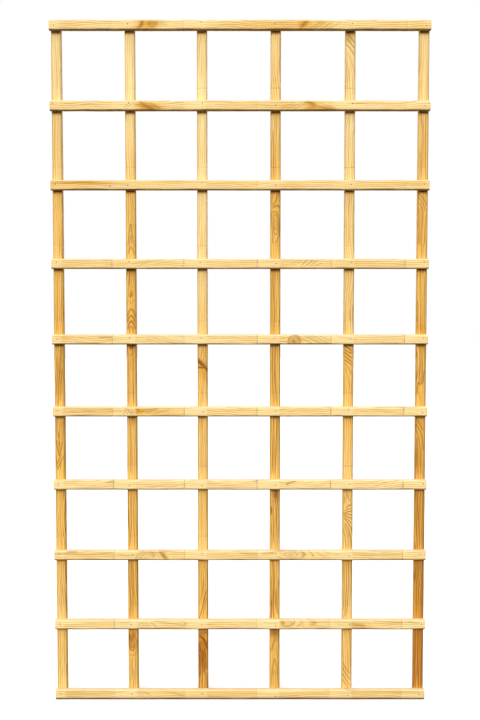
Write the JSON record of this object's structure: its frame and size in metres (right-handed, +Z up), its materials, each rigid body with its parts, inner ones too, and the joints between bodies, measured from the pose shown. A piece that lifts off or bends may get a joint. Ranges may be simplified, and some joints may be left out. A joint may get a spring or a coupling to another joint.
{
  "type": "garden trellis",
  "caption": "Square-grid wooden garden trellis panel: flat rails nailed across upright stiles, for a wall, a fence or posts.",
  "frame": {"origin": "middle of the panel's width and depth, at the underside of the bottom rail", "axes": "+Z up along the stiles, +X to the right along the rails seen from the front, -Y out of the front, where the rails are"},
  "size_m": [0.9126, 0.0362, 1.6556],
  "materials": {
    "rail_wood": "planed softwood, honey coloured, dip treated, matt with a faint sheen",
    "stile_wood": "planed softwood, orange brown, dip treated, matt with a faint sheen",
    "nail_steel": "dull dark steel wire nail"
  },
  "bodies": {
    "root": {"rail_01": "rail_wood", "rail_02": "rail_wood", "rail_03": "rail_wood", "rail_04": "rail_wood", "rail_05": "rail_wood", "rail_06": "rail_wood", "rail_07": "rail_wood", "rail_08": "rail_wood", "rail_09": "rail_wood", "rail_10": "rail_wood", "stile_1": "stile_wood", "stile_2": "stile_wood", "stile_3": "stile_wood", "stile_4": "stile_wood", "stile_5": "stile_wood", "stile_6": "stile_wood", "nail_01_1": "nail_steel", "nail_01_2": "nail_steel", "nail_01_3": "nail_steel", "nail_01_4": "nail_steel", "nail_01_5": "nail_steel", "nail_01_6": "nail_steel", "nail_02_1": "nail_steel", "nail_02_2": "nail_steel", "nail_02_5": "nail_steel", "nail_02_6": "nail_steel", "nail_03_1": "nail_steel", "nail_03_2": "nail_steel", "nail_03_5": "nail_steel", "nail_03_6": "nail_steel", "nail_04_1": "nail_steel", "nail_04_2": "nail_steel", "nail_04_5": "nail_steel", "nail_04_6": "nail_steel", "nail_05_1": "nail_steel", "nail_05_2": "nail_steel", "nail_05_5": "nail_steel", "nail_05_6": "nail_steel", "nail_06_1": "nail_steel", "nail_06_2": "nail_steel", "nail_06_5": "nail_steel", "nail_06_6": "nail_steel", "nail_07_1": "nail_steel", "nail_07_2": "nail_steel", "nail_07_5": "nail_steel", "nail_07_6": "nail_steel", "nail_08_1": "nail_steel", "nail_08_2": "nail_steel", "nail_08_5": "nail_steel", "nail_08_6": "nail_steel", "nail_09_1": "nail_steel", "nail_09_2": "nail_steel", "nail_09_5": "nail_steel", "nail_09_6": "nail_steel", "nail_10_1": "nail_steel", "nail_10_2": "nail_steel", "nail_10_3": "nail_steel", "nail_10_4": "nail_steel", "nail_10_5": "nail_steel", "nail_10_6": "nail_steel"}
  },
  "joints": []
}
